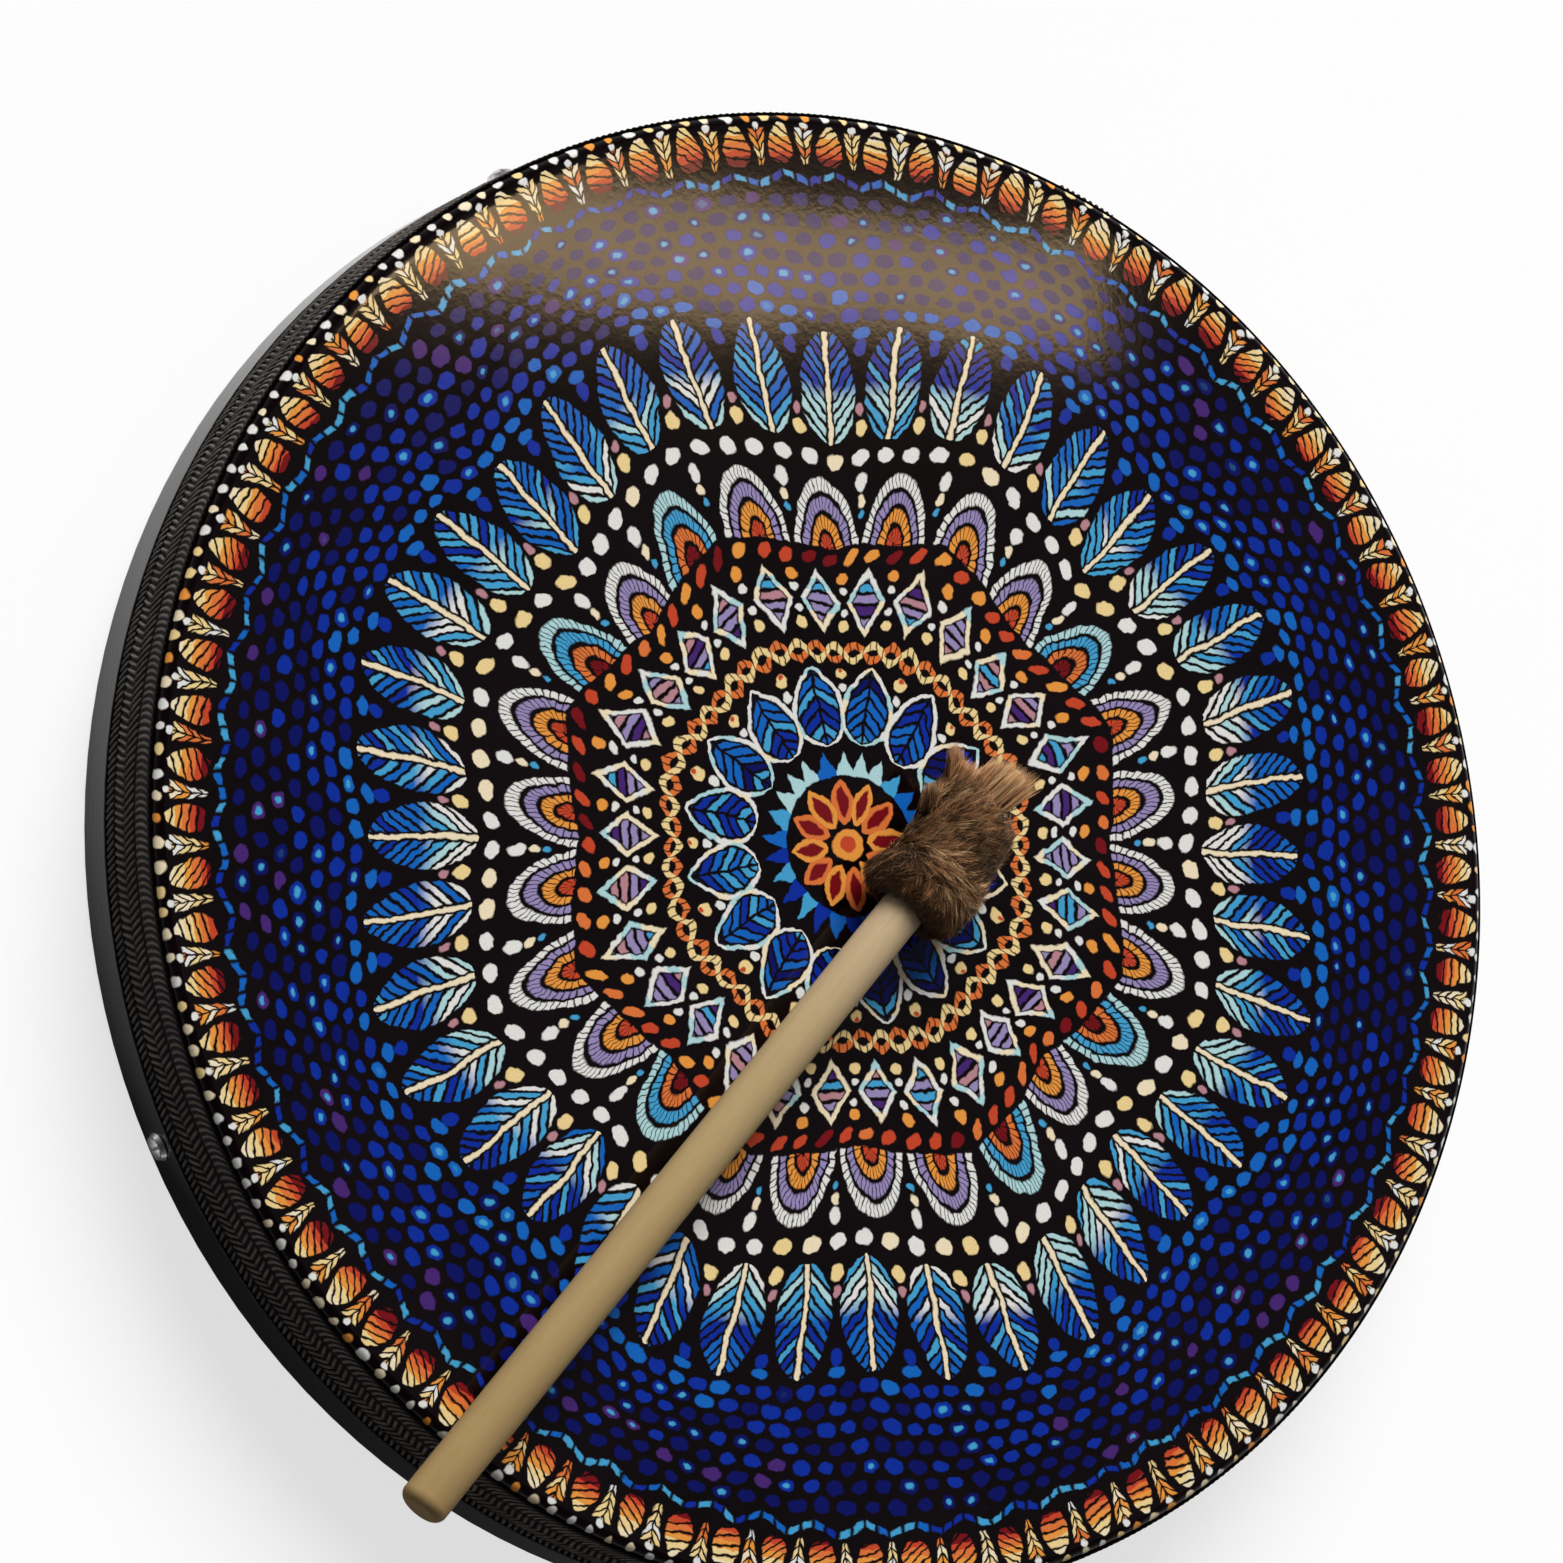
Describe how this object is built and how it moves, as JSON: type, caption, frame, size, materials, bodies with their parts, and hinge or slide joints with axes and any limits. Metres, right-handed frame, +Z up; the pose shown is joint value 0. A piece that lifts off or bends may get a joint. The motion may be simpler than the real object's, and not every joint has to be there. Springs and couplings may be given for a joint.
{
  "type": "shaman drum",
  "caption": "Large round frame drum with a painted head, woven side trim and a cross handle in its open back; a fur-headed beater lies on the head and lifts off.",
  "frame": {"origin": "centre of the back rim, on the surface that the drum lies on", "axes": "+Z up along the drum's axis towards the painted head; the arms of the cross handle lie along X and Y"},
  "size_m": [0.5688, 0.5688, 0.1019],
  "materials": {
    "black_lacquer": "gloss black lacquer on bent wood",
    "painted_skin": "satin, printed in many colours",
    "plated_steel": "nickel plated",
    "woven_tape": "matt woven tape with overcast edges",
    "bar_wood": "oiled hardwood",
    "dowel_wood": "oiled dark hardwood",
    "stick_wood": "sanded, unfinished",
    "felt": "dense wool felt",
    "fur": "brown fur with lighter tips",
    "strap_leather": "dark vegetable-tanned leather"
  },
  "bodies": {
    "drum": {"shell": "black_lacquer", "drum_head": "painted_skin", "head_tacks": "plated_steel", "trim_band": "woven_tape", "handle_bar": "bar_wood", "handle_cross_bar": "bar_wood", "lap_dowel": "dowel_wood", "handle_screws": "plated_steel", "screw_cups": "plated_steel"},
    "beater": {"beater_stick": "stick_wood", "beater_core": "felt", "beater_cover": "fur", "neck_strap": "strap_leather"}
  },
  "joints": [
    {"name": "beater_lift", "type": "slide", "parent": "drum", "child": "beater", "axis": [0, 0, 1], "range_m": [0, 0.25]}
  ]
}
